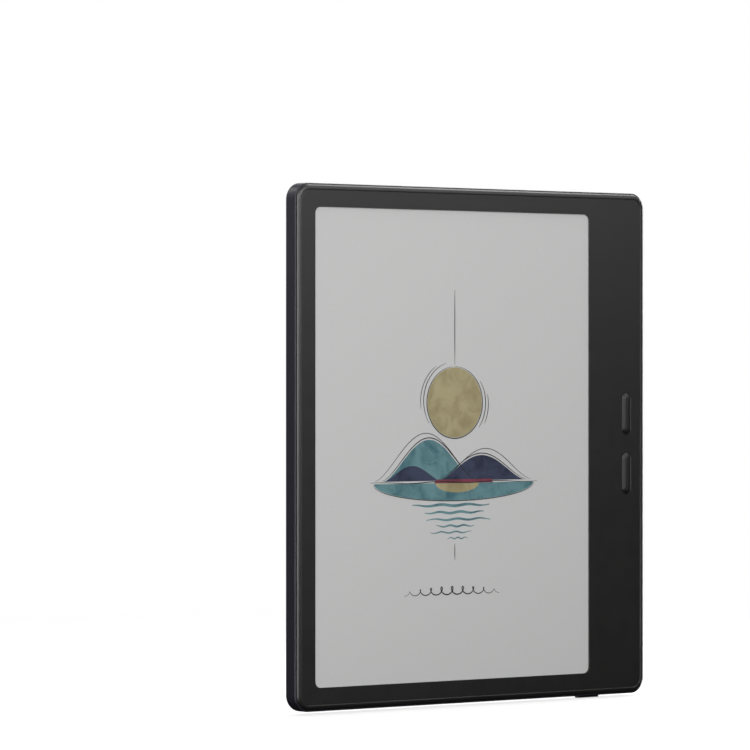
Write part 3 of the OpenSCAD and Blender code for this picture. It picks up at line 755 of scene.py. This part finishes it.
def arc(x, z, r, start, end, steps=48, squash=1.0):
    """Points along an arc, from one angle to another in degrees."""
    angles = [math.radians(start + (end - start) * k / steps) for k in range(steps + 1)]
    return [(x + r * math.cos(a), z + squash * r * math.sin(a)) for a in angles]


def ridge(x, half, z, rise, steps=48):
    """Points along a smooth hump over a level line."""
    return [(x - half + 2 * half * k / steps, z + rise * math.sin(math.pi * k / steps) ** 1.5)
            for k in range(steps + 1)]


def flourish(x, z, span, loops=9, steps=240):
    """An even looped scroll of the kind that closes a page."""
    points = []
    for k in range(steps + 1):
        t = k / steps
        turn = 2 * math.pi * loops * t
        swell = 0.5 + 0.5 * math.sin(math.pi * t)
        points.append((x - span / 2 + span * t + 1.15 * swell * math.sin(turn),
                       z + 1.2 * swell * (1 - math.cos(turn))))
    return points


def ripple(x, z, half, phase, steps=40):
    """A line across the water with a slow wave in it."""
    return [(x - half + 2 * half * k / steps, z + 0.22 * math.sin(k * 0.45 + phase))
            for k in range(steps + 1)]


def plumb(x, z, drop, steps=30):
    """Points down an upright line."""
    return [(x, z - drop * k / steps) for k in range(steps + 1)]


def make_picture():
    """A plain picture of the maker's own: a low sun and hills over still water, in washes and pen."""
    ochre = pigment("ink_ochre", (0.4, 0.35, 0.2), (0.3, 0.25, 0.13))
    teal = pigment("ink_teal", (0.13, 0.26, 0.28), (0.04, 0.12, 0.15))
    navy = pigment("ink_navy", (0.045, 0.055, 0.1), (0.018, 0.022, 0.045))
    maroon = pigment("ink_maroon", (0.24, 0.05, 0.085), (0.15, 0.035, 0.05))
    pen = pigment("ink_pen", (0.035, 0.034, 0.035), (0.016, 0.015, 0.017))
    sun_z, sun_r, shore = 13.0, 10.6, -10.6
    printed("picture_sun", ochre, 0, arc(ART_X, sun_z, sun_r, 0, 360, 96)[:-1])
    printed("picture_far_hill", teal, 2, ridge(ART_X - 10, 17.5, shore, 12.4))
    printed("picture_near_hill", navy, 3, ridge(ART_X + 10.5, 17, shore, 7.6))
    printed("picture_low_hill", navy, 3, ridge(ART_X - 16.5, 11, shore, 4.6))
    printed("picture_bank", maroon, 4, [(ART_X - 8, shore - 0.75), (ART_X + 15, shore - 0.75),
                                        (ART_X + 14.4, shore + 0.35), (ART_X - 7.4, shore + 0.35)])
    printed("picture_lake", teal, 0, arc(ART_X, shore - 0.7, 31, 180, 360, 72, 0.17))
    printed("picture_glow", ochre, 1, arc(ART_X + 1, shore - 0.7, 8.5, 180, 360, 40, 0.34))
    ripples = ((7.4, 15, 0.9), (9.6, 11.5, 0.8), (11.7, 12.5, 0.7),
               (13.7, 7.5, 0.6), (15.6, 8, 0.5), (17.4, 4, 0.4))
    printed_lines("picture_water", teal, 0,
                  [(ripple(ART_X + 1.5 * math.sin(2.3 * down), shore - down, half, down), width)
                   for down, half, width in ripples])
    strokes = [(arc(ART_X, sun_z, sun_r + 0.25, 95, 450, 120), 0.3),
               (arc(ART_X - 0.4, sun_z + 0.5, sun_r + 1.1, 105, 215), 0.24),
               (arc(ART_X - 0.9, sun_z + 0.3, sun_r + 1.8, 120, 190), 0.2),
               (arc(ART_X + 0.6, sun_z - 0.2, sun_r + 0.9, -40, 35), 0.24),
               (arc(ART_X + 1.1, sun_z - 0.4, sun_r + 1.5, -30, 14), 0.2),
               (ridge(ART_X - 10, 18, shore + 0.2, 12.8), 0.3),
               (ridge(ART_X - 11.2, 19.4, shore + 0.2, 14.2), 0.2),
               (ridge(ART_X + 10.5, 17.4, shore + 0.2, 8), 0.28),
               (ridge(ART_X + 12, 17.8, shore + 0.2, 9.4), 0.2),
               (ripple(ART_X, shore - 0.45, 32.5, 0.6), 0.3),
               (arc(ART_X, shore - 0.8, 31.3, 182, 358, 96, 0.17), 0.26),
               (plumb(ART_X, 47, 22.6), 0.26), (plumb(ART_X, shore - 19, 5), 0.24)]
    printed_lines("picture_lines", pen, 5, strokes)
    printed_lines("picture_flourish", pen, 0, [(flourish(ART_X - 1, -45, 37), 0.4)])


# ---- CAD pieces that stay ----

def finish_cad_nodes():
    """Materials for the CAD pieces that stay: the screen's film, and what lies inside the body."""
    looks = {
        "cover_film": SCREEN, "display_gasket": RUBBER, "perimeter_seal": RUBBER, "tray_seal": RUBBER,
        "panel_adhesive": moulded("tape_cream", (0.5, 0.47, 0.38), rough=0.7),
        "light_guide": moulded("clear_acrylic", (0.7, 0.73, 0.73), rough=0.15),
        "front_light_strip": moulded("diode_strip", (0.75, 0.7, 0.45), rough=0.4),
        "epaper_panel": moulded("panel_glass", (0.45, 0.45, 0.43), rough=0.3),
        "mid_frame": moulded("cast_frame", (0.5, 0.51, 0.53), rough=0.45, metal=1.0),
        "battery_pack": moulded("battery_foil", (0.42, 0.43, 0.45), rough=0.35, metal=0.8, mottle=0.2),
        "battery_tape": moulded("battery_tape", (0.8, 0.8, 0.77), rough=0.6),
        "battery_lead": moulded("wire_red", (0.45, 0.03, 0.03), rough=0.4),
        "shield_can": STEEL, "usb_screws": STEEL, "board_screws": STEEL, "frame_screws": STEEL,
        "eject_pivot": STEEL, "card_socket": STEEL, "eject_rod": STEEL, "eject_lever": STEEL,
        "card_contacts": GOLD,
        "wifi_antenna": moulded("antenna_film", (0.5, 0.3, 0.08), rough=0.4),
        "antenna_lead": BLACK, "board_chips": BLACK, "speaker_upper": BLACK, "speaker_lower": BLACK,
        "speaker_mesh_upper": moulded("speaker_cloth", (0.006, 0.006, 0.006), rough=0.9, grain=9000,
                                      depth=0.00003),
    }
    looks["speaker_mesh_lower"] = looks["speaker_mesh_upper"]
    looks["speaker_leads"] = looks["battery_lead"]
    board = moulded("solder_resist", (0.012, 0.09, 0.05), rough=0.35, mottle=0.25)
    looks["main_board"] = looks["usb_board"] = board
    flex = moulded("polyimide_flex", (0.5, 0.22, 0.04), rough=0.35)
    for node in ("display_flex", "touch_flex", "power_flex", "usb_flex"):
        looks[node] = flex
    switch = moulded("switch_metal", (0.5, 0.5, 0.5), rough=0.35, metal=1.0)
    for node in ("page_up_switch", "page_down_switch", "power_switch"):
        looks[node] = switch
    connector = moulded("connector_cream", (0.7, 0.66, 0.55), rough=0.5)
    looks["battery_connector"] = looks["board_connectors"] = connector
    for name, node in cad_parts.items():
        if name in looks:
            node.data.materials.clear()
            node.data.materials.append(looks[name])


# ---- Studio ----

def softbox(name, at, target, width, height, power):
    """An area light at one point, turned to another. Its size is in metres and its power in watts."""
    light = bpy.data.lights.new(name, "AREA")
    light.shape = "RECTANGLE"
    light.size, light.size_y = width, height
    light.energy = power
    obj = bpy.data.objects.new(name, light)
    bpy.context.scene.collection.objects.link(obj)
    obj.location = at
    obj.rotation_euler = (Vector(target) - Vector(at)).to_track_quat("-Z", "Y").to_euler()
    obj.visible_camera = False


FLOOR_R, FLOOR_GAP = 0.75, 0.0002


def make_floor():
    """A pale backlit table that fades into the surroundings, and is kept out of reflections."""
    z = cad_box[0][2] - FLOOR_GAP
    bm = bmesh.new()
    bmesh.ops.create_circle(bm, cap_ends=True, segments=128, radius=FLOOR_R)
    mesh = bpy.data.meshes.new("floor")
    bm.to_mesh(mesh)
    bm.free()
    floor = bpy.data.objects.new("floor", mesh)
    floor.location = (0, 0, z)
    floor.visible_glossy = False
    floor.visible_diffuse = False
    bpy.context.scene.collection.objects.link(floor)
    mat, tree, shader = new_material("floor_paper")
    point = object_point(tree)
    length = tree.nodes.new("ShaderNodeVectorMath")
    length.operation = "LENGTH"
    tree.links.new(point, length.inputs[0])
    fade = spread(tree, length.outputs["Value"], 0.0, 1.0, 0.12, 0.55)
    shader.inputs["Base Color"].default_value = (0.4, 0.4, 0.4, 1)
    shader.inputs["Roughness"].default_value = 0.9
    shader.inputs["Specular IOR Level"].default_value = 0.1
    shader.inputs["Emission Color"].default_value = (1, 1, 1, 1)
    shader.inputs["Emission Strength"].default_value = 0.68
    clear = tree.nodes.new("ShaderNodeBsdfTransparent")
    mix = tree.nodes.new("ShaderNodeMixShader")
    tree.links.new(fade, mix.inputs[0])
    tree.links.new(shader.outputs["BSDF"], mix.inputs[1])
    tree.links.new(clear.outputs["BSDF"], mix.inputs[2])
    tree.links.new(mix.outputs["Shader"], tree.nodes["Material Output"].inputs["Surface"])
    mesh.materials.append(mat)


def make_world():
    """White behind the object, and for its light a soft grey room that is darker low down."""
    world = bpy.data.worlds.new("studio")
    bpy.context.scene.world = world
    world.use_nodes = True
    tree = world.node_tree
    tree.nodes.clear()
    out = tree.nodes.new("ShaderNodeOutputWorld")
    mix = tree.nodes.new("ShaderNodeMixShader")
    path = tree.nodes.new("ShaderNodeLightPath")
    white = tree.nodes.new("ShaderNodeBackground")
    white.inputs["Color"].default_value = (1, 1, 1, 1)
    white.inputs["Strength"].default_value = 1.0
    soft = tree.nodes.new("ShaderNodeBackground")
    soft.inputs["Strength"].default_value = 1.0
    point = tree.nodes.new("ShaderNodeTexCoord")
    split = tree.nodes.new("ShaderNodeSeparateXYZ")
    tree.links.new(point.outputs["Generated"], split.inputs[0])
    sky = ramp(tree, spread(tree, split.outputs["Z"], 0, 1, -1, 1),
               (0.0, (0.01, 0.01, 0.01)), (0.44, (0.02, 0.02, 0.02)), (0.6, (0.1, 0.1, 0.102)),
               (1.0, (0.35, 0.35, 0.355)))
    tree.links.new(sky, soft.inputs["Color"])
    tree.links.new(path.outputs["Is Camera Ray"], mix.inputs[0])
    tree.links.new(soft.outputs[0], mix.inputs[1])
    tree.links.new(white.outputs[0], mix.inputs[2])
    tree.links.new(mix.outputs[0], out.inputs["Surface"])


def make_lights():
    """Softboxes: key, strips and cards for the front, rake and panels for the back, strips for the sides."""
    softbox("key_front", (-0.62, -0.72, 0.26), (0, 0, 0), 0.7, 0.8, 4.7)
    softbox("strip_left", (-0.56, -0.57, 0.04), (0, 0, 0.02), 0.14, 0.6, 1.3)
    softbox("strip_front", (0.14, -0.79, 0.26), (0, 0, 0.05), 0.2, 0.44, 1.5)
    softbox("wall_front", (0.4, -0.48, 0.25), (0, 0, 0.08), 0.3, 0.3, 0.28)
    softbox("card_front", (0.24, -0.14, 0.42), (-0.03, 0, 0.078), 0.25, 0.3, 0.2)
    softbox("rake_back", (0.18, 0.105, 0.33), (0, 0, 0.04), 0.4, 0.2, 1.9)
    softbox("panel_back", (-0.08, 0.2, 0.13), (0.043, 0, 0.09), 0.1, 0.16, 0.12)
    softbox("edge_back", (0.36, 0.36, 0.14), (0.06, 0, 0.1), 0.2, 0.2, 0.34)
    softbox("top_back", (-0.31, 0.05, 0.42), (0, 0, 0.078), 0.25, 0.25, 0.35)
    softbox("strip_side", (0.6, 0.13, 0), (0.068, 0, 0), 0.08, 0.5, 1.7)
    softbox("strip_wall", (-0.55, -0.005, -0.2), (-0.068, 0, -0.06), 0.1, 0.26, 1.1)


CAMERA_AT = (-0.8556, -1.0411, 0.0213)
CAMERA_TURN = -38.277
CAMERA_LENS, SENSOR_W = 212.43, 36


def make_camera():
    """A long lens, level, a little above the middle, to the left of the front."""
    camera = bpy.data.objects.new("camera", bpy.data.cameras.new("camera"))
    camera.data.lens = CAMERA_LENS
    camera.data.sensor_width = SENSOR_W
    camera.data.clip_start = 0.01
    camera.location = CAMERA_AT
    camera.rotation_euler = (math.radians(90), 0, math.radians(CAMERA_TURN))
    bpy.context.scene.collection.objects.link(camera)
    bpy.context.scene.camera = camera


make_casing()
make_back_panels()
make_bezel()
page_key("page_up_key", KEY_Z, "page_up", "page_up_button")
page_key("page_down_key", -KEY_Z, "page_down", "page_down_button")
make_power_key()
make_tray()
make_memory_card()
make_port()
make_picture()
finish_cad_nodes()
make_floor()
make_world()
make_lights()
make_camera()
bpy.context.scene.view_settings.view_transform = "Standard"
